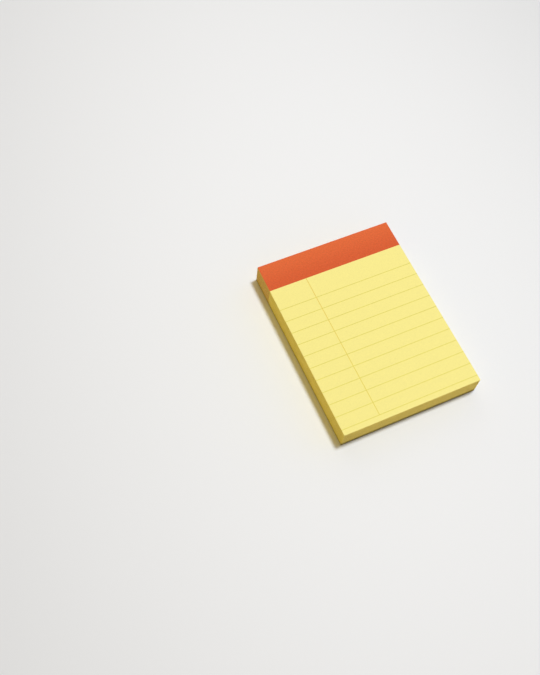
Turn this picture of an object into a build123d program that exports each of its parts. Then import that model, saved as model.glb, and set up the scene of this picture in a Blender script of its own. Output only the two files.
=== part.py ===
"""Sticky note pad: ruled paper notes with a printed header band, glued at the head, on a backing card.

Millimetres. The origin is the middle of the pad's underside, +X runs to the reader's right,
+Y towards the printed header and +Z up. Depths down the page are measured from its head.
"""

from build123d import *
import math
import os

# The paper
note_width = 76.2
note_length = 101.6
sheet_pitch = 0.122        # one note with the glue and air under it
sheet_count = 100
leaf_jog = 0.05            # furthest that a note lies from the top one, each way

# The card under the last note
backing_thickness = 0.28

# The coat of glue under the lowest note, which holds it to the card
glue_thickness = 0.03
glue_setback = 1.5         # bare paper at the head, to lift a note by

# The printing on the top note
ink_thickness = 0.02
header_depth = 15.5
rule_pitch = 7.08
rule_width = 0.3
foot_margin = 3.0          # foot of the page to the middle of the last rule
margin_inset = 20.7        # left edge of the page to the middle of the margin line
margin_width = 0.3

# Places that follow from the sizes
head_y = note_length / 2
left_x = -note_width / 2
block_bottom_z = backing_thickness
block_top_z = block_bottom_z + sheet_count * sheet_pitch

# The rules are set out from the foot, and the space that is left under the header is for a title
ruled_room = note_length - header_depth - foot_margin
rule_count = math.floor(ruled_room / rule_pitch)
last_rule_depth = note_length - foot_margin
first_rule_depth = last_rule_depth - (rule_count - 1) * rule_pitch

# A turn of this many radians from leaf to leaf never comes round to the same place
golden_angle = math.pi * (3 - math.sqrt(5))


def leaf_offset(leaf):
    """How far a note lies from the top one, which is leaf 0, across the page and along it."""
    turn = leaf * golden_angle
    return leaf_jog * math.sin(turn), leaf_jog * math.sin(2 * turn)


def slab(width, length, thickness, x, y, z):
    """A flat rectangle of that thickness, centred on x and y, with its underside at z."""
    return Pos(x, y, z) * Box(width, length, thickness, align=(Align.CENTER, Align.CENTER, Align.MIN))


def strip_down_page(width, x, upper_depth, lower_depth, thickness, z):
    """A slab that covers the page between two depths."""
    middle_y = head_y - (upper_depth + lower_depth) / 2
    return slab(width, lower_depth - upper_depth, thickness, x, middle_y, z)


def make_glue_strip():
    """The coat of glue under the lowest note, as wide as the note and hidden under the header's place."""
    x, y = leaf_offset(sheet_count - 1)
    strip = strip_down_page(note_width, x, glue_setback, header_depth, glue_thickness, block_bottom_z)
    return Pos(0, y, 0) * strip


def make_note_block(glue_strip):
    """All the notes as one solid that shows each leaf's edge on its four sides, over the glue's flush bed."""
    leaves = []
    for leaf in range(sheet_count):
        x, y = leaf_offset(leaf)
        z = block_top_z - (leaf + 1) * sheet_pitch
        leaves.append(slab(note_width, note_length, sheet_pitch, x, y, z))
    block = leaves[0].fuse(*leaves[1:])
    return block - glue_strip


def make_backing_card():
    """The card that keeps the glue off the desk, cut to the lowest note."""
    x, y = leaf_offset(sheet_count - 1)
    return slab(note_width, note_length, backing_thickness, x, y, 0)


def make_header_band():
    """The band of solid ink across the head of the top note."""
    return strip_down_page(note_width, 0, 0, header_depth, ink_thickness, block_top_z)


def make_ruled_lines():
    """The rules across the top note, from edge to edge."""
    rules = []
    for rule in range(rule_count):
        depth = first_rule_depth + rule * rule_pitch
        upper, lower = depth - rule_width / 2, depth + rule_width / 2
        rules.append(strip_down_page(note_width, 0, upper, lower, ink_thickness, block_top_z))
    return Compound(children=rules)


def make_margin_line(ruled_lines):
    """The margin line, from the header band to the last rule, broken where a rule crosses it."""
    line = strip_down_page(
        margin_width, left_x + margin_inset, header_depth, last_rule_depth, ink_thickness, block_top_z
    )
    return line - ruled_lines


glue_strip = make_glue_strip()
ruled_lines = make_ruled_lines()
nodes = {
    "note_block": make_note_block(glue_strip),
    "backing_card": make_backing_card(),
    "glue_strip": glue_strip,
    "header_band": make_header_band(),
    "ruled_lines": ruled_lines,
    "margin_line": make_margin_line(ruled_lines),
}

os.makedirs("parts", exist_ok=True)
for name, shape in nodes.items():
    export_step(shape, f"parts/{name}.step")
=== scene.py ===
"""Looks of the sticky note pad: its leaves and their cut edges, its printing, its card and its table.

Metres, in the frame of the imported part: the origin is the middle of the underside, +Y runs up the page
towards the header and +Z out of it.
"""

import logging
import math
from collections.abc import Callable
from dataclasses import dataclass, field
from enum import Enum

import bmesh
import bpy
from mathutils import Euler, Matrix, Vector


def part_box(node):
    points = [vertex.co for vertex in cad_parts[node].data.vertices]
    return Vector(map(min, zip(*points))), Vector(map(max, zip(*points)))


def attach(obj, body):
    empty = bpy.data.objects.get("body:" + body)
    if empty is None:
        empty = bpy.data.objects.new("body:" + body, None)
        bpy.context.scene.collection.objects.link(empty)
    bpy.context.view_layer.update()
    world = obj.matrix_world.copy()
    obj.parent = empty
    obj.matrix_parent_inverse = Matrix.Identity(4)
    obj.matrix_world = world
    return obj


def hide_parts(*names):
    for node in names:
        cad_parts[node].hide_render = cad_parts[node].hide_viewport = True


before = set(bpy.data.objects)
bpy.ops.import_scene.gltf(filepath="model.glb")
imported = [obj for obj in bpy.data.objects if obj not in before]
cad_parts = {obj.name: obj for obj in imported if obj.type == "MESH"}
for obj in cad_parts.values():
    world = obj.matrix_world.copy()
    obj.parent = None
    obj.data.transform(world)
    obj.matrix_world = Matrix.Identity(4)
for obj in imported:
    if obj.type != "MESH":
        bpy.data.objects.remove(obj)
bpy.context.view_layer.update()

MM = 0.001
BODY = "root"

# Where the middle of a pattern from 0 to 1 lies
MIDDLE = 0.5

# A turn of this many radians from leaf to leaf never comes round to the same place
GOLDEN_ANGLE = math.pi * (3 - math.sqrt(5))

log = logging.getLogger("note_pad")

Colour = tuple[float, float, float]
Socket = bpy.types.NodeSocket
Number = Socket | float
Feed = Number | Colour


class LeafFace(Enum):
    """The two finishes of a leaf, by the number of their material slot."""

    PAGE = 0
    CUT = 1


class Print(Enum):
    """What is printed on the top note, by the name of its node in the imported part."""

    HEADER = "header_band"
    RULES = "ruled_lines"
    MARGIN = "margin_line"


class Part(Enum):
    """What is picked of a mesh in edit mode, by Blender's name for it."""

    CORNERS = "VERT"
    EDGES = "EDGE"


class Sum(Enum):
    """A sum that a Math node can do, by Blender's name for it."""

    PLUS = "ADD"
    MINUS = "SUBTRACT"
    TIMES = "MULTIPLY"
    OVER = "DIVIDE"
    POWER = "POWER"
    EXPONENT = "EXPONENT"
    FLOOR = "FLOOR"
    FRACTION = "FRACT"
    LARGER = "MAXIMUM"


class Mix(Enum):
    """How a second colour goes onto a first, by Blender's name for it."""

    COVER = "MIX"
    SHADE = "MULTIPLY"
    LIGHT = "ADD"


class Bench:
    """Places and joins the nodes of one shader tree."""

    def __init__(self, tree: bpy.types.NodeTree) -> None:
        """Keeps the node tree to work in."""
        self.tree = tree

    def add(self, kind: str, **settings: object) -> bpy.types.Node:
        """Adds a node and sets its properties.

        Args:
            kind: The node's type.
            **settings: Properties of the node, by name.

        Returns:
            The new node.
        """
        node = self.tree.nodes.new(kind)
        for name, value in settings.items():
            setattr(node, name, value)
        return node

    def feed(self, target: Socket, value: Feed) -> None:
        """Gives an input its value, by a link where the value is a socket.

        Args:
            target: The input.
            value: A socket, a number or a colour.
        """
        if isinstance(value, Socket):
            self.tree.links.new(value, target)
        elif isinstance(value, tuple):
            target.default_value = (*value, 1.0)
        else:
            target.default_value = value

    def place(self) -> Socket:
        """The place of a point of the surface, in the object's own metres."""
        return self.add("ShaderNodeTexCoord").outputs["Object"]

    def split(self, place: Socket) -> tuple[Socket, Socket, Socket]:
        """The three coordinates of a place.

        Args:
            place: The place.

        Returns:
            Its X, Y and Z.
        """
        node = self.add("ShaderNodeSeparateXYZ")
        self.feed(node.inputs[0], place)
        return node.outputs[0], node.outputs[1], node.outputs[2]

    def together(self, x: Number, y: Number, z: Number) -> Socket:
        """A place made of three coordinates.

        Args:
            x: The first, a socket or a number.
            y: The second.
            z: The third.

        Returns:
            The place.
        """
        node = self.add("ShaderNodeCombineXYZ")
        for target, value in zip(node.inputs, (x, y, z)):
            self.feed(target, value)
        return node.outputs[0]

    def length(self, place: Socket) -> Socket:
        """How far a place lies from the origin.

        Args:
            place: The place.

        Returns:
            The distance.
        """
        node = self.add("ShaderNodeVectorMath", operation="LENGTH")
        self.feed(node.inputs[0], place)
        return node.outputs["Value"]

    def sum(self, kind: Sum, *values: Number) -> Socket:
        """Works out one number.

        Args:
            kind: The sum.
            *values: What it works on, sockets or numbers.

        Returns:
            The result.
        """
        node = self.add("ShaderNodeMath", operation=kind.value)
        for target, value in zip(node.inputs, values):
            self.feed(target, value)
        return node.outputs[0]

    def swing(self, pattern: Socket, depth: Number) -> Socket:
        """How far a pattern from 0 to 1 lies above or below its middle, up to half the depth each way."""
        return self.sum(Sum.TIMES, self.sum(Sum.MINUS, pattern, MIDDLE), depth)

    def weigh(self, share: float, first: Socket, second: Socket) -> Socket:
        """Makes one pattern of two.

        Args:
            share: How much of the first goes in, from 0 to 1.
            first: The first pattern.
            second: The second, which takes the rest.

        Returns:
            The joint pattern.
        """
        first_part = self.sum(Sum.TIMES, first, share)
        second_part = self.sum(Sum.TIMES, second, 1.0 - share)
        return self.sum(Sum.PLUS, first_part, second_part)

    def spread(self, value: Socket, start: tuple[Number, Number], end: tuple[Number, Number]) -> Socket:
        """Maps one range onto another, smoothly, and holds it at both ends.

        Args:
            value: The number to map.
            start: The range that it comes from.
            end: The range that it goes to.

        Returns:
            The mapped number.
        """
        node = self.add("ShaderNodeMapRange", interpolation_type="SMOOTHSTEP")
        for target, number in zip(node.inputs, (value, *start, *end)):
            self.feed(target, number)
        return node.outputs["Result"]

    def noise(self, place: Socket, scale: Number, layers: float, swirl: float = 0.0) -> Socket:
        """A cloudy pattern.

        Args:
            place: The place that it is read at.
            scale: How many clouds there are to a metre.
            layers: How many finer layers lie on it.
            swirl: How much it is distorted.

        Returns:
            The pattern, from 0 to 1 about a half.
        """
        node = self.add("ShaderNodeTexNoise")
        self.feed(node.inputs["Vector"], place)
        self.feed(node.inputs["Scale"], scale)
        self.feed(node.inputs["Detail"], layers)
        self.feed(node.inputs["Distortion"], swirl)
        return node.outputs["Fac"]

    def blend(self, share: Number, first: Feed, second: Feed, how: Mix = Mix.COVER) -> Socket:
        """Mixes two colours.

        Args:
            share: How much of the second goes in, from 0 to 1.
            first: The first colour.
            second: The second colour, or a number's socket for a grey.
            how: How the second goes onto the first.

        Returns:
            The mixed colour.
        """
        node = self.add("ShaderNodeMix", data_type="RGBA", blend_type=how.value)
        shown = [socket for socket in node.inputs if socket.enabled]
        for target, value in zip(shown, (share, first, second)):
            self.feed(target, value)
        return next(socket for socket in node.outputs if socket.enabled)

    def bump(self, height: Socket, distance: float) -> Socket:
        """A normal that follows a relief.

        Args:
            height: The relief, from 0 to 1.
            distance: How high 1 stands, in metres.

        Returns:
            The normal.
        """
        node = self.add("ShaderNodeBump")
        self.feed(node.inputs["Height"], height)
        self.feed(node.inputs["Distance"], distance)
        return node.outputs["Normal"]


@dataclass(frozen=True)
class Pattern:
    """A node group that is built once and placed in each material with that material's values.

    Attributes:
        name: The group's name.
        inputs: The name of each input, with its value where a material gives none.
        outputs: The name of each output.
    """

    name: str
    inputs: tuple[tuple[str, float], ...]
    outputs: tuple[str, ...]

    def draw(self, bench: Bench, given: dict[str, Socket]) -> tuple[Socket, ...]:
        """Draws the inside of the group from its given inputs, and returns a socket for each output."""
        raise NotImplementedError

    def tree(self) -> bpy.types.NodeTree:
        """The group's tree, which is built the first time that it is asked for.

        Returns:
            The tree.
        """
        if self.name in bpy.data.node_groups:
            return bpy.data.node_groups[self.name]
        tree = bpy.data.node_groups.new(self.name, "ShaderNodeTree")
        for name, start in self.inputs:
            socket = tree.interface.new_socket(name, in_out="INPUT", socket_type="NodeSocketFloat")
            socket.default_value = start
        for name in self.outputs:
            tree.interface.new_socket(name, in_out="OUTPUT", socket_type="NodeSocketFloat")
        bench = Bench(tree)
        entry = bench.add("NodeGroupInput")
        given = {name: entry.outputs[name] for name, start in self.inputs}
        leave = bench.add("NodeGroupOutput")
        for name, made in zip(self.outputs, self.draw(bench, given)):
            bench.feed(leave.inputs[name], made)
        return tree

    def put(self, bench: Bench, values: dict[str, float]) -> dict[str, Socket]:
        """Places the group in a material.

        Args:
            bench: The material's tree.
            values: The inputs that the material gives, by name.

        Returns:
            The group's outputs, by name.
        """
        node = bench.add("ShaderNodeGroup", node_tree=self.tree())
        for name, value in values.items():
            bench.feed(node.inputs[name], value)
        return {name: node.outputs[name] for name in self.outputs}


@dataclass(frozen=True)
class PaperGrain(Pattern):
    """The cloudy look-through and the fibres of uncoated paper.

    Attributes:
        cloud_layers: How many finer layers lie on the clouds.
        fibre_layers: How many lie on the fibres.
        fibre_swirl: How much the fibres are distorted.
        cloud_share: How much of the relief is clouds, from 0 to 1. The rest is fibres.
    """

    cloud_layers: float = 3.0
    fibre_layers: float = 4.0
    fibre_swirl: float = 1.4
    cloud_share: float = 0.3

    def draw(self, bench: Bench, given: dict[str, Socket]) -> tuple[Socket, ...]:
        """Draws clouds with swirled fibres on them.

        Args:
            bench: The group's own tree.
            given: Its inputs, by name.

        Returns:
            The shade, about 1, and the relief, from 0 to 1.
        """
        place = bench.place()
        clouds = bench.noise(place, given["Cloud scale"], self.cloud_layers)
        fibres = bench.noise(place, given["Fibre scale"], self.fibre_layers, self.fibre_swirl)
        cloud_part = bench.swing(clouds, given["Cloud depth"])
        fibre_part = bench.swing(fibres, given["Fibre depth"])
        shade = bench.sum(Sum.PLUS, bench.sum(Sum.PLUS, cloud_part, fibre_part), 1.0)
        return shade, bench.weigh(self.cloud_share, clouds, fibres)


@dataclass(frozen=True)
class CutLeaves(Pattern):
    """The cut side of a stack: a line to a leaf, painted shade where a few don't close, and knife marks.

    Attributes:
        rim: Where a leaf's upper rim begins and is whole, as shares of its height.
        seam_shade_luck: The random numbers at which a leaf begins to show a seam's painted shade and shows
            it whole.
        streak_layers: How many finer layers lie on the knife's marks.
        drift_layers: How many lie on the slow change down the stack.
        streak_share: How much of the relief is the knife's marks, from 0 to 1. The rest is the leaves.
    """

    rim: tuple[float, float] = (0.05, 0.35)
    seam_shade_luck: tuple[float, float] = (0.86, 0.9)
    streak_layers: float = 3.0
    drift_layers: float = 2.0
    streak_share: float = 0.6

    def draw(self, bench: Bench, given: dict[str, Socket]) -> tuple[Socket, ...]:
        """Draws a shade for each leaf, its upper rim and the knife's marks.

        Args:
            bench: The group's own tree.
            given: Its inputs, by name.

        Returns:
            The shade, about 1, the rim's mask, a random number for each leaf and the relief.
        """
        x, y, z = bench.split(bench.place())
        level = bench.sum(Sum.OVER, bench.sum(Sum.MINUS, z, given["Lowest"]), given["Pitch"])
        leaf = bench.sum(Sum.FLOOR, level)
        rim = bench.spread(bench.sum(Sum.FRACTION, level), self.rim, (0.0, 1.0))
        chance = bench.add("ShaderNodeTexWhiteNoise", noise_dimensions="1D")
        bench.feed(chance.inputs["W"], leaf)
        luck = chance.outputs["Value"]
        along = bench.sum(Sum.PLUS, x, y)
        streak_place = bench.together(along, 0.0, bench.sum(Sum.TIMES, z, given["Streak slope"]))
        streaks = bench.noise(streak_place, given["Streak scale"], self.streak_layers)
        drift = bench.noise(bench.together(0.0, 0.0, z), given["Drift scale"], self.drift_layers)
        # Painted shade: a dark line at the seams where a few leaves don't close.
        seam = bench.spread(luck, self.seam_shade_luck, (0.0, given["Seam shade depth"]))
        shade = bench.sum(Sum.MINUS, 1.0, seam)
        for pattern, depth in ((luck, "Leaf depth"), (streaks, "Streak depth"), (drift, "Drift depth")):
            shade = bench.sum(Sum.PLUS, shade, bench.swing(pattern, given[depth]))
        return shade, rim, luck, bench.weigh(self.streak_share, streaks, luck)


@dataclass(frozen=True)
class InkFilm(Pattern):
    """A printed film of ink, which is a little thinner in places and lets the paper through at pinholes.

    Attributes:
        mottle_layers: How many finer layers lie on the mottle.
        tooth_layers: How many lie on the paper's tooth.
        tooth_swirl: How much the tooth is distorted.
        pinholes: The tooth at which the film is thinnest, and the tooth at which it is whole.
    """

    mottle_layers: float = 4.0
    tooth_layers: float = 2.0
    tooth_swirl: float = 0.8
    pinholes: tuple[float, float] = (0.24, 0.42)

    def draw(self, bench: Bench, given: dict[str, Socket]) -> tuple[Socket, ...]:
        """Draws the film's mottle and how much of the paper it covers.

        Args:
            bench: The group's own tree.
            given: Its inputs, by name.

        Returns:
            The cover, from 0 to 1, and the shade, about 1.
        """
        place = bench.place()
        mottle = bench.noise(place, given["Mottle scale"], self.mottle_layers)
        tooth = bench.noise(place, given["Tooth scale"], self.tooth_layers, self.tooth_swirl)
        cover = bench.spread(tooth, self.pinholes, (given["Thin cover"], 1.0))
        return cover, bench.sum(Sum.PLUS, bench.swing(mottle, given["Mottle depth"]), 1.0)


GRAIN = PaperGrain(
    "paper_grain",
    (("Cloud scale", 420.0), ("Cloud depth", 0.05), ("Fibre scale", 1800.0), ("Fibre depth", 0.08)),
    ("Shade", "Relief"),
)
LEAVES = CutLeaves(
    "cut_leaves",
    (
        ("Lowest", 0.0),
        ("Pitch", 0.12 * MM),
        ("Leaf depth", 0.24),
        ("Seam shade depth", 0.45),
        ("Streak scale", 900.0),
        ("Streak slope", 0.12),
        ("Streak depth", 0.16),
        ("Drift scale", 500.0),
        ("Drift depth", 0.16),
    ),
    ("Shade", "Rim", "Luck", "Relief"),
)
FILM = InkFilm(
    "ink_film",
    (("Mottle scale", 1200.0), ("Mottle depth", 0.5), ("Tooth scale", 5200.0), ("Thin cover", 0.7)),
    ("Cover", "Shade"),
)


@dataclass(frozen=True)
class Finish:
    """A surface's colour and sheen.

    Attributes:
        name: The material's name.
        colour: The colour of the clean surface.
        roughness: How matt it is, from 0 to 1.
        gloss: How much it reflects, where 0.5 is as much as plain glass does.
        sheen_swing: How far a relief changes the roughness, each way.
        relief_range: The part of the relief that does so.
    """

    name: str
    colour: Colour
    roughness: float = 0.85
    gloss: float = 0.3
    sheen_swing: float = 0.06
    relief_range: tuple[float, float] = (0.3, 0.7)

    def start(self) -> tuple[bpy.types.Material, Bench, bpy.types.Node]:
        """Makes the material with its plain values.

        Returns:
            The material, a bench for its tree and its shader.
        """
        material = bpy.data.materials.new(self.name)
        material.use_nodes = True
        shader = material.node_tree.nodes["Principled BSDF"]
        shader.inputs["Roughness"].default_value = self.roughness
        shader.inputs["Specular IOR Level"].default_value = self.gloss
        return material, Bench(material.node_tree), shader

    def paint(self, bench: Bench, shader: bpy.types.Node, colour: Feed, shade: Socket) -> None:
        """Colours the surface, and multiplies its colour by a shade that changes from place to place."""
        bench.feed(shader.inputs["Base Color"], bench.blend(1.0, colour, shade, Mix.SHADE))

    def roughen(self, bench: Bench, shader: bpy.types.Node, relief: Socket, height: float) -> None:
        """Lets a relief turn the light and change the sheen.

        Args:
            bench: The material's tree.
            shader: Its shader.
            relief: The relief, from 0 to 1.
            height: How high 1 stands, in metres.
        """
        ends = (self.roughness - self.sheen_swing, self.roughness + self.sheen_swing)
        bench.feed(shader.inputs["Roughness"], bench.spread(relief, self.relief_range, ends))
        bench.feed(shader.inputs["Normal"], bench.bump(relief, height))


@dataclass(frozen=True)
class PaperFinish(Finish):
    """Uncoated paper, card or a dried coat of glue on it, seen on its flat.

    Attributes:
        tooth: How high its grain stands.
        cloud_depth: How much its clouds change the colour.
        fibre_depth: How much its fibres do.
    """

    tooth: float = 0.006 * MM
    cloud_depth: float = 0.05
    fibre_depth: float = 0.08

    def material(self) -> bpy.types.Material:
        """Builds the material.

        Returns:
            The material.
        """
        material, bench, shader = self.start()
        grain = GRAIN.put(bench, {"Cloud depth": self.cloud_depth, "Fibre depth": self.fibre_depth})
        self.paint(bench, shader, self.colour, grain["Shade"])
        self.roughen(bench, shader, grain["Relief"], self.tooth)
        return material


@dataclass(frozen=True)
class CutFinish(Finish):
    """The cut side of the stack, inked at each rim beside the header, with painted shade towards the table.

    Attributes:
        soaked: The colour of a rim that has drawn in ink.
        soak: How much of that colour the rim takes, from 0 to 1.
        misprint: How far the end of the ink shifts from leaf to leaf.
        scratch: How high the knife's marks stand.
        base_shade: The painted shade at the table, where 1 is none.
        base_shade_height: How far up from the lowest leaf it reaches.
        contact_shade: The painted shade at the table on the foot's side, a dark line where it meets the
            table.
        contact_shade_height: How far up from the lowest leaf that reaches.
        contact_shade_start: How far behind the foot that shade begins to give way to the other sides' one.
        contact_shade_end: How far behind the foot it has given way.
        corner_darkening: How much darker the sides are at the left corner of the foot, where 1 is no
            darker.
        corner_darkening_reach: How far from the corner it reaches.
    """

    soaked: Colour = (0.7, 0.4, 0.15)
    soak: float = 1.0
    misprint: float = 0.25 * MM
    scratch: float = 0.01 * MM
    base_shade: float = 0.75
    base_shade_height: float = 2.6 * MM
    contact_shade: float = 0.03
    contact_shade_height: float = 3.1 * MM
    contact_shade_start: float = 0.15 * MM
    contact_shade_end: float = 0.9 * MM
    corner_darkening: float = 0.9
    corner_darkening_reach: float = 16 * MM

    def material(
        self, lowest: float, pitch: float, left_x: float, foot_y: float, header_edge: float
    ) -> bpy.types.Material:
        """Builds the material.

        Args:
            lowest: The height of the lowest leaf's underside.
            pitch: The height of a leaf.
            left_x: Where the left edge of the page is.
            foot_y: Where the foot of the page is.
            header_edge: Where the header starts along the page.

        Returns:
            The material.
        """
        material, bench, shader = self.start()
        leaves = LEAVES.put(bench, {"Lowest": lowest, "Pitch": pitch})
        x, y, z = bench.split(bench.place())
        shifted = bench.sum(Sum.PLUS, y, bench.sum(Sum.TIMES, leaves["Luck"], self.misprint))
        ink_end = (header_edge, header_edge + self.misprint / 2)
        printed = bench.spread(shifted, ink_end, (0.0, self.soak))
        inked = bench.blend(bench.sum(Sum.TIMES, printed, leaves["Rim"]), self.colour, self.soaked)
        # Painted shade: the sides darken towards the table, where they meet it.
        base_shade = bench.spread(z, (lowest, lowest + self.base_shade_height), (self.base_shade, 1.0))
        # Painted shade: a dark line along the foot's side where it meets the table.
        contact_shade = bench.spread(z, (lowest, lowest + self.contact_shade_height), (self.contact_shade, 1.0))
        behind_foot = bench.sum(Sum.MINUS, y, foot_y)
        # Just behind the foot, the foot's painted shade gives way to the other sides' painted shade.
        painted_base_shade = bench.spread(behind_foot, (self.contact_shade_start, self.contact_shade_end), (contact_shade, base_shade))
        from_left = bench.sum(Sum.MINUS, x, left_x)
        from_corner = bench.length(bench.together(from_left, behind_foot, 0.0))
        # Darker towards the left corner at the foot.
        corner_darkening = bench.spread(from_corner, (0.0, self.corner_darkening_reach), (self.corner_darkening, 1.0))
        shade = bench.sum(Sum.TIMES, leaves["Shade"], bench.sum(Sum.TIMES, painted_base_shade, corner_darkening))
        self.paint(bench, shader, inked, shade)
        self.roughen(bench, shader, leaves["Relief"], self.scratch)
        return material


@dataclass(frozen=True, kw_only=True)
class InkFinish(Finish):
    """Ink on the page, whose colour is graded along its field. On the header band that grading is a painted
    sheen.

    Attributes:
        tail: The ink's colour at the foot of its field. At the head it has the finish's own colour.
        paper: The colour that shows through it.
        thin_cover: How much of the paper it covers where it is thinnest, from 0 to 1.
        tooth: How high the paper's grain stands under it.
    """

    tail: Colour
    paper: Colour
    thin_cover: float = 0.7
    tooth: float = 0.004 * MM

    def material(self, tail_y: float, head_y: float) -> bpy.types.Material:
        """Builds the material.

        Args:
            tail_y: Where the field ends, towards the foot of the page.
            head_y: Where it starts, towards the head.

        Returns:
            The material.
        """
        material, bench, shader = self.start()
        film = FILM.put(bench, {"Thin cover": self.thin_cover})
        grain = GRAIN.put(bench, {})
        _, along, _ = bench.split(bench.place())
        # Graded along the field; on the header band this is a painted sheen.
        ink = bench.blend(bench.spread(along, (tail_y, head_y), (0.0, 1.0)), self.tail, self.colour)
        shaded = bench.blend(1.0, ink, film["Shade"], Mix.SHADE)
        bench.feed(shader.inputs["Base Color"], bench.blend(film["Cover"], self.paper, shaded))
        self.roughen(bench, shader, grain["Relief"], self.tooth)
        return material


@dataclass(frozen=True)
class TableFinish(Finish):
    """A matt pale surface in painted light: palest near the pad, dimmest a little way off, paler again far
    away.

    Attributes:
        light_pool_x: Where the middle of the painted pool of light is across the page.
        light_pool_y: Where it is along the page.
        light_pool_width: How far across the painted light of the pool would fall to 1/e.
        light_pool_depth: How far along it would do so.
        light_pool_turn_deg: How far the pool is turned.
        least: The dimmest painted shade that the table takes.
        far_start: How far from the pad the table begins to turn paler again.
        far_end: How far away it has its full colour.
    """

    light_pool_x: float = -6 * MM
    light_pool_y: float = 29 * MM
    light_pool_width: float = 527 * MM
    light_pool_depth: float = 879 * MM
    light_pool_turn_deg: float = -10.5
    least: float = 0.83
    far_start: float = 290 * MM
    far_end: float = 560 * MM

    def material(self) -> bpy.types.Material:
        """Builds the material.

        Returns:
            The material.
        """
        material, bench, shader = self.start()
        # Painted light: a soft oval pool, brightest near the pad, multiplies the table's colour.
        pool = bench.add("ShaderNodeMapping", vector_type="TEXTURE")
        bench.feed(pool.inputs["Vector"], bench.place())
        pool.inputs["Location"].default_value = (self.light_pool_x, self.light_pool_y, 0.0)
        pool.inputs["Rotation"].default_value = (0.0, 0.0, math.radians(self.light_pool_turn_deg))
        pool.inputs["Scale"].default_value = (self.light_pool_width, self.light_pool_depth, 1.0)
        squared = bench.sum(Sum.POWER, bench.length(pool.outputs["Vector"]), 2.0)
        near = bench.sum(Sum.EXPONENT, bench.sum(Sum.TIMES, squared, -1.0))
        away = bench.length(bench.place())
        far = bench.spread(away, (self.far_start, self.far_end), (self.least, 1.0))
        self.paint(bench, shader, self.colour, bench.sum(Sum.LARGER, near, far))
        return material


PAGE = PaperFinish("page_paper", (0.962, 0.844, 0.2735), cloud_depth=0.03, fibre_depth=0.22)
CUT = CutFinish("cut_paper", (0.965, 0.806, 0.213), roughness=0.9, gloss=0.1)
# A brown card, kept dark so that its edge also adds painted shade along the line where the pad meets the
# table.
CARD = PaperFinish("backing_card_stock", (0.2, 0.145, 0.06), cloud_depth=0.1, fibre_depth=0.2)
GLUE = PaperFinish("glue_coat", (0.8, 0.74, 0.5), roughness=0.5)
# The header's change from head to foot is a painted sheen, lighter towards the head.
HEADER_INK = InkFinish(
    "header_ink",
    (0.76, 0.134, 0.03),
    roughness=0.65,
    gloss=0.2,
    tail=(0.685, 0.1, 0.02),
    paper=(0.9, 0.35, 0.1),
)
RULE_INK = InkFinish("rule_ink", (0.736, 0.64, 0.1), tail=(0.79, 0.69, 0.1), paper=PAGE.colour)
MARGIN_INK = InkFinish("margin_ink", (0.8, 0.565, 0.075), tail=(0.79, 0.635, 0.07), paper=PAGE.colour)
TABLE = TableFinish("table_top", (0.905, 0.897, 0.883), roughness=0.7, gloss=0.2)


def deselect_all() -> None:
    """Leaves nothing selected, in object mode."""
    if bpy.context.object is not None and bpy.context.object.mode != "OBJECT":
        bpy.ops.object.mode_set(mode="OBJECT")
    bpy.ops.object.select_all(action="DESELECT")


def choose(*pieces: bpy.types.Object) -> None:
    """Selects some objects alone, with the first of them active.

    Args:
        *pieces: The objects.
    """
    deselect_all()
    for piece in pieces:
        piece.select_set(True)
    bpy.context.view_layer.objects.active = pieces[0]


def edit(piece: bpy.types.Object) -> bmesh.types.BMesh:
    """Selects one object alone and goes into edit mode on it.

    Args:
        piece: The object.

    Returns:
        Its mesh, for selecting by place or normal.
    """
    choose(piece)
    bpy.ops.object.mode_set(mode="EDIT")
    bpy.ops.mesh.select_mode(type="VERT")
    return bmesh.from_edit_mesh(piece.data)


def pick(piece: bpy.types.Object, part: Part, wanted: Callable[..., bool]) -> None:
    """Selects only the corners or the edges that pass a test, in edit mode.

    Args:
        piece: The object.
        part: Whether corners or edges are picked.
        wanted: The test, a function of one corner or edge.
    """
    bpy.ops.mesh.select_mode(type=part.value)
    bpy.ops.mesh.select_all(action="DESELECT")
    shape = bmesh.from_edit_mesh(piece.data)
    items = shape.verts if part is Part.CORNERS else shape.edges
    for item in items:
        item.select_set(wanted(item))
    shape.select_flush_mode()
    bmesh.update_edit_mesh(piece.data)


def finish_piece(piece: bpy.types.Object) -> None:
    """Puts a new piece on the pad's body and logs how many faces it has.

    Args:
        piece: The piece, in its place.
    """
    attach(piece, BODY)
    log.info("%s: %d faces", piece.name, len(piece.data.polygons))


def repaint(node: str, material: bpy.types.Material) -> None:
    """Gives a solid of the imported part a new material.

    Args:
        node: The solid's node.
        material: The material.
    """
    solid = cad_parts[node]
    solid.data.materials.clear()
    solid.data.materials.append(material)
    log.info("%s: %s", node, material.name)


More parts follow.
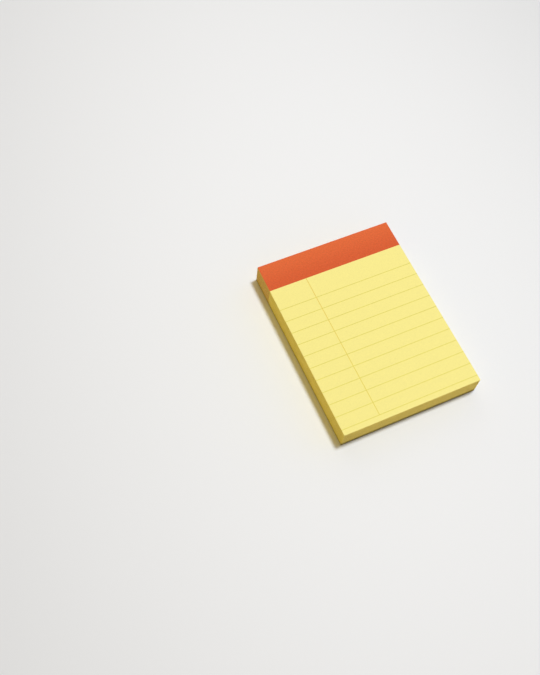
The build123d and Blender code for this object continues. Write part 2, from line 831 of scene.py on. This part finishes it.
@dataclass
class NoteStack:
    """The stack of notes, each leaf a closed slab of its own with soft corners and an uneven cut.

    Attributes:
        name: The stack's own name.
        node: The solid that it stands for.
        slot: The record's material slot of that solid.
        leaf_count: How many leaves there are.
        leaf_gap: The air under each leaf.
        leaf_jog: How far a leaf lies from the top one at most, each way.
        cut_wave: How far the cut of a leaf wanders.
        corner_round: How much of each side its rounded corner takes.
        corner_steps: How many edges there are round a corner.
        long_cuts: How often a leaf's long side is divided.
        short_cuts: How often its short side is.
        side_slack: How much a side may be shorter than the page and still count as a whole side.
        flat_least: How much the normal of a leaf's flat points up or down at least.
        level_digits: To how many decimals of a millimetre the height of a leaf's flat is read.
        low: The lowest corner of the stack's box.
        high: Its highest corner.
        width: A leaf's size across the page.
        length: Its size along the page.
        pitch: The height of a leaf with the air under it.
        header_edge: Where the header starts along the page.
    """

    name: str = "note_stack"
    node: str = "note_block"
    slot: str = "yellow_paper"
    leaf_count: int = 100
    leaf_gap: float = 0.014 * MM
    leaf_jog: float = 0.04 * MM
    cut_wave: float = 0.008 * MM
    corner_round: float = 0.15 * MM
    corner_steps: int = 2
    long_cuts: int = 25
    short_cuts: int = 19
    side_slack: float = 0.6 * MM
    flat_least: float = 0.5
    level_digits: int = 4
    low: Vector = field(init=False)
    high: Vector = field(init=False)
    width: float = field(init=False)
    length: float = field(init=False)
    pitch: float = field(init=False)
    header_edge: float = field(init=False)

    def __post_init__(self) -> None:
        """Takes the stack's place and a leaf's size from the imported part, whose header spans the page."""
        self.low, self.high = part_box(self.node)
        header_low, header_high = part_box(Print.HEADER.value)
        self.width = header_high.x - header_low.x
        self.length = 2 * header_high.y
        self.pitch = (self.high.z - self.low.z) / self.leaf_count
        self.header_edge = header_low.y

    def leaf_offset(self, leaf: int) -> Vector:
        """How far a leaf lies from the top one.

        Args:
            leaf: Its number from the top, from 0.

        Returns:
            The offset across the page, along it and down.
        """
        turn = leaf * GOLDEN_ANGLE
        across = self.leaf_jog * math.sin(turn)
        along = self.leaf_jog * math.sin(2 * turn)
        return Vector((across, along, -leaf * self.pitch))

    def divide(self, leaf: bpy.types.Object, side: float, cuts: int) -> None:
        """Divides a leaf's two sides of one length, and keeps its flat a single face.

        Args:
            leaf: The leaf, in edit mode.
            side: The length of the side before its corners were rounded.
            cuts: How often it is divided.
        """
        pick(leaf, Part.EDGES, lambda edge: edge.calc_length() > side - self.side_slack)
        bpy.ops.mesh.subdivide(number_cuts=cuts)
        bpy.ops.mesh.select_all(action="SELECT")
        bpy.ops.mesh.dissolve_faces(use_verts=False)

    def first_leaf(self) -> bpy.types.Object:
        """Models the top leaf at its place.

        Returns:
            The leaf, a closed slab.
        """
        deselect_all()
        thickness = self.pitch - self.leaf_gap
        bpy.ops.mesh.primitive_plane_add(size=1.0, location=(0, 0, 0))
        leaf = bpy.context.object
        leaf.name = "leaf_000"
        edit(leaf)
        bpy.ops.mesh.select_all(action="SELECT")
        bpy.ops.transform.resize(value=(self.width, self.length, 1.0))
        bpy.ops.transform.translate(value=(0, 0, self.high.z - thickness))
        bpy.ops.mesh.bevel(offset=self.corner_round, segments=self.corner_steps, affect="VERTICES")
        self.divide(leaf, self.length, self.long_cuts)
        self.divide(leaf, self.width, self.short_cuts)
        bpy.ops.mesh.select_all(action="SELECT")
        bpy.ops.mesh.extrude_region_move(TRANSFORM_OT_translate={"value": (0, 0, thickness)})
        bpy.ops.mesh.select_all(action="SELECT")
        bpy.ops.mesh.normals_make_consistent(inside=False)
        deselect_all()
        return leaf

    def finish_leaf(self, leaf: bpy.types.Object) -> None:
        """Gives a leaf's flats the page's finish and its sides the cut's.

        Args:
            leaf: The leaf.
        """
        leaf.data.materials.append(PAGE.material())
        cut = CUT.material(self.low.z, self.pitch, -self.width / 2, -self.length / 2, self.header_edge)
        leaf.data.materials.append(cut)
        for face in leaf.data.polygons:
            flat = abs(face.normal.z) > self.flat_least
            face.material_index = (LeafFace.PAGE if flat else LeafFace.CUT).value

    def uneven_cut(self, leaf: bpy.types.Object, seed: int) -> None:
        """Moves a leaf's rim a little sideways, and keeps its two flats level.

        Args:
            leaf: The leaf.
            seed: A number that no other leaf has.
        """
        shape = edit(leaf)
        heights = {round(corner.co.z / MM, self.level_digits) for corner in shape.verts}
        lower, upper = min(heights) * MM, max(heights) * MM
        middle = (lower + upper) / 2
        bpy.ops.mesh.select_all(action="SELECT")
        bpy.ops.transform.vertex_random(offset=self.cut_wave, uniform=1.0, normal=0.0, seed=seed)
        for level, top in ((lower, False), (upper, True)):
            pick(leaf, Part.CORNERS, lambda corner, top=top: (corner.co.z > middle) == top)
            bpy.ops.transform.resize(value=(1.0, 1.0, 0.0), center_override=(0.0, 0.0, level))
        deselect_all()

    def build(self) -> bpy.types.Object:
        """Models one leaf, copies it down the stack, cuts the leaves unevenly and joins them.

        Returns:
            The stack.
        """
        first = self.first_leaf()
        self.finish_leaf(first)
        leaves = [first]
        for number in range(1, self.leaf_count):
            choose(first)
            bpy.ops.object.duplicate_move(
                OBJECT_OT_duplicate={"linked": False},
                TRANSFORM_OT_translate={"value": self.leaf_offset(number)},
            )
            leaves.append(bpy.context.object)
            bpy.ops.object.transform_apply(location=True, rotation=True, scale=True)
        for number, leaf in enumerate(leaves):
            self.uneven_cut(leaf, number)
        choose(*leaves)
        bpy.ops.object.join()
        stack = bpy.context.object
        stack.name = self.name
        return stack

    def dress(self, stack: bpy.types.Object) -> None:
        """Lets the stack stand for its solid, which it hides, and puts it on the pad's body."""
        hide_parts(self.node)
        finish_piece(stack)


@dataclass
class Backing:
    """The card under the notes and the glue that holds it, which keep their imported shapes.

    Attributes:
        card: The card's node.
        glue: The glue's node.
    """

    card: str = "backing_card"
    glue: str = "glue_strip"

    def dress(self) -> None:
        """Gives the card and the glue their finishes."""
        for node, finish in ((self.card, CARD), (self.glue, GLUE)):
            repaint(node, finish.material())


@dataclass
class Inks:
    """The printing on the top note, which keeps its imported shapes.

    Attributes:
        header: The ink of the band across the head.
        rules: The ink of the rules.
        margin: The ink of the margin line.
    """

    header: InkFinish = HEADER_INK
    rules: InkFinish = RULE_INK
    margin: InkFinish = MARGIN_INK

    def dress(self) -> None:
        """Gives each printed field its ink, graded from its tail to its head, which on the header is a
        painted sheen.
        """
        inks = {Print.HEADER: self.header, Print.RULES: self.rules, Print.MARGIN: self.margin}
        for printed, ink in inks.items():
            low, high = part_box(printed.value)
            repaint(printed.value, ink.material(low.y, high.y))


def heading_vector(heading_deg: float, height_deg: float) -> Vector:
    """The direction of a light, by its heading and its height.

    Args:
        heading_deg: Clockwise from the head of the page, seen from above.
        height_deg: Up from the table.

    Returns:
        The direction, of length 1, from the pad.
    """
    heading = math.radians(heading_deg)
    height = math.radians(height_deg)
    level = math.cos(height)
    return Vector((math.sin(heading) * level, math.cos(heading) * level, math.sin(height)))


@dataclass(frozen=True)
class Glow:
    """Soft light of the room from one side, strongest at one height above the table.

    Attributes:
        heading_deg: The side that it comes from, clockwise from the head of the page.
        colour: Its colour and strength where it is strongest.
        narrow: How quickly it fades away from there.
        height_deg: How far up from the table it is strongest.
    """

    heading_deg: float
    colour: Colour
    narrow: float = 4.0
    height_deg: float = 0.0

    def light(self, bench: Bench, looked: Socket) -> Socket:
        """Draws the glow in the world's shader.

        Args:
            bench: The world's tree.
            looked: The direction that is looked in.

        Returns:
            The glow's light in that direction.
        """
        aim = bench.add("ShaderNodeVectorMath", operation="DOT_PRODUCT")
        bench.feed(aim.inputs[0], looked)
        aim.inputs[1].default_value = heading_vector(self.heading_deg, self.height_deg)
        share = bench.sum(Sum.POWER, bench.sum(Sum.LARGER, aim.outputs["Value"], 0.0), self.narrow)
        return bench.blend(share, (0.0, 0.0, 0.0), self.colour)


@dataclass
class Studio:
    """The table, the lamp, the pale surroundings and the camera.

    Attributes:
        table_radius: The round table top's radius.
        table_corners: How many corners its rim has.
        lamp_distance: How far the lamp hangs from the pad.
        lamp_width: Its width.
        lamp_height_deg: How high it hangs, up from the table.
        lamp_heading_deg: The side that it hangs on, clockwise from the head of the page.
        lamp_watts: Its power.
        lamp_colour: Its colour.
        room: The light that comes from all round.
        glows: The light that comes from single sides.
        backdrop: What is seen past the table.
        lens_mm: The camera's focal length.
        film_mm: The longer side of its film.
        camera_place: Where it stands.
        camera_heading_deg: Which way it looks, clockwise from the head of the page.
        camera_tilt_deg: How far down it looks.
        camera_roll_deg: How far it is turned about its own axis.
        view_start: How far from the camera the view starts.
        view_end: How far from the camera it ends.
    """

    table_radius: float = 1.2
    table_corners: int = 128
    lamp_distance: float = 2.5
    lamp_width: float = 0.43
    lamp_height_deg: float = 74.8
    lamp_heading_deg: float = 77.7
    lamp_watts: float = 46.3
    lamp_colour: Colour = (0.786, 0.869, 1.0)
    room: Colour = (0.19, 0.17, 0.0)
    glows: tuple[Glow, ...] = (
        Glow(-90.0, (0.63, 0.36, 0.0)),
        Glow(180.0, (0.64, 0.48, 0.85)),
        Glow(90.0, (0.33, 0.41, 1.58)),
        Glow(8.0, (0.85, 0.74, 0.765), narrow=6.0, height_deg=35.0),
    )
    backdrop: Colour = (0.8, 0.8, 0.79)
    lens_mm: float = 50.0
    film_mm: float = 36.0
    camera_place: tuple[float, float, float] = (-164.52 * MM, -174.48 * MM, 427.70 * MM)
    camera_heading_deg: float = 31.90
    camera_tilt_deg: float = 62.256
    camera_roll_deg: float = 8.372
    view_start: float = 1 * MM
    view_end: float = 9.6

    def lay_table(self) -> None:
        """Lays a round table top, level with the pad's underside."""
        deselect_all()
        bpy.ops.mesh.primitive_circle_add(
            vertices=self.table_corners, radius=self.table_radius, fill_type="NGON"
        )
        table = bpy.context.object
        table.name = "table_top"
        table.data.materials.append(TABLE.material())
        log.info("table_top: %.1f m across", self.table_radius * 2)

    def hang_lamp(self) -> None:
        """Hangs one round lamp high on the reader's right."""
        towards = heading_vector(self.lamp_heading_deg, self.lamp_height_deg)
        light = bpy.data.lights.new("key_lamp", "AREA")
        light.shape = "DISK"
        light.size = self.lamp_width
        light.energy = self.lamp_watts
        light.color = self.lamp_colour
        lamp = bpy.data.objects.new("key_lamp", light)
        bpy.context.scene.collection.objects.link(lamp)
        lamp.location = towards * self.lamp_distance
        lamp.rotation_mode = "QUATERNION"
        lamp.rotation_quaternion = (-towards).to_track_quat("-Z", "Y")
        log.info("key_lamp: %.0f W", self.lamp_watts)

    def surround(self) -> None:
        """Fills the room with soft light and a glow from each side, and shows a pale backdrop."""
        world = bpy.data.worlds.new("room")
        bpy.context.scene.world = world
        world.use_nodes = True
        bench = Bench(world.node_tree)
        background = world.node_tree.nodes["Background"]
        path = bench.add("ShaderNodeLightPath")
        seen = bench.sum(Sum.LARGER, path.outputs["Is Camera Ray"], path.outputs["Is Glossy Ray"])
        seen = bench.sum(Sum.LARGER, seen, path.outputs["Is Transmission Ray"])
        looked = bench.add("ShaderNodeTexCoord").outputs["Generated"]
        soft: Feed = self.room
        for glow in self.glows:
            soft = bench.blend(1.0, soft, glow.light(bench, looked), Mix.LIGHT)
        bench.feed(background.inputs["Color"], bench.blend(seen, soft, self.backdrop))

    def set_camera(self) -> None:
        """Sets the camera where the photograph was taken from."""
        lens = bpy.data.cameras.new("camera")
        lens.lens = self.lens_mm
        lens.sensor_width = self.film_mm
        lens.sensor_fit = "AUTO"
        lens.clip_start = self.view_start
        lens.clip_end = self.view_end
        camera = bpy.data.objects.new("camera", lens)
        bpy.context.scene.collection.objects.link(camera)
        tilt = math.radians(90 - self.camera_tilt_deg)
        heading = math.radians(self.camera_heading_deg)
        turn = Euler((tilt, 0, -heading)).to_matrix()
        roll = Matrix.Rotation(math.radians(self.camera_roll_deg), 3, "Z")
        camera.matrix_world = Matrix.Translation(self.camera_place) @ (turn @ roll).to_4x4()
        bpy.context.scene.camera = camera

    def build(self) -> None:
        """Sets up the whole studio."""
        self.lay_table()
        self.hang_lamp()
        self.surround()
        self.set_camera()
        bpy.context.scene.view_settings.view_transform = "Standard"


def main() -> None:
    """Builds the pad's pieces and the studio."""
    logging.basicConfig(level=logging.INFO, format="%(name)s %(message)s")
    stack = NoteStack()
    stack.dress(stack.build())
    Backing().dress()
    Inks().dress()
    Studio().build()


if __name__ == "__main__":
    main()
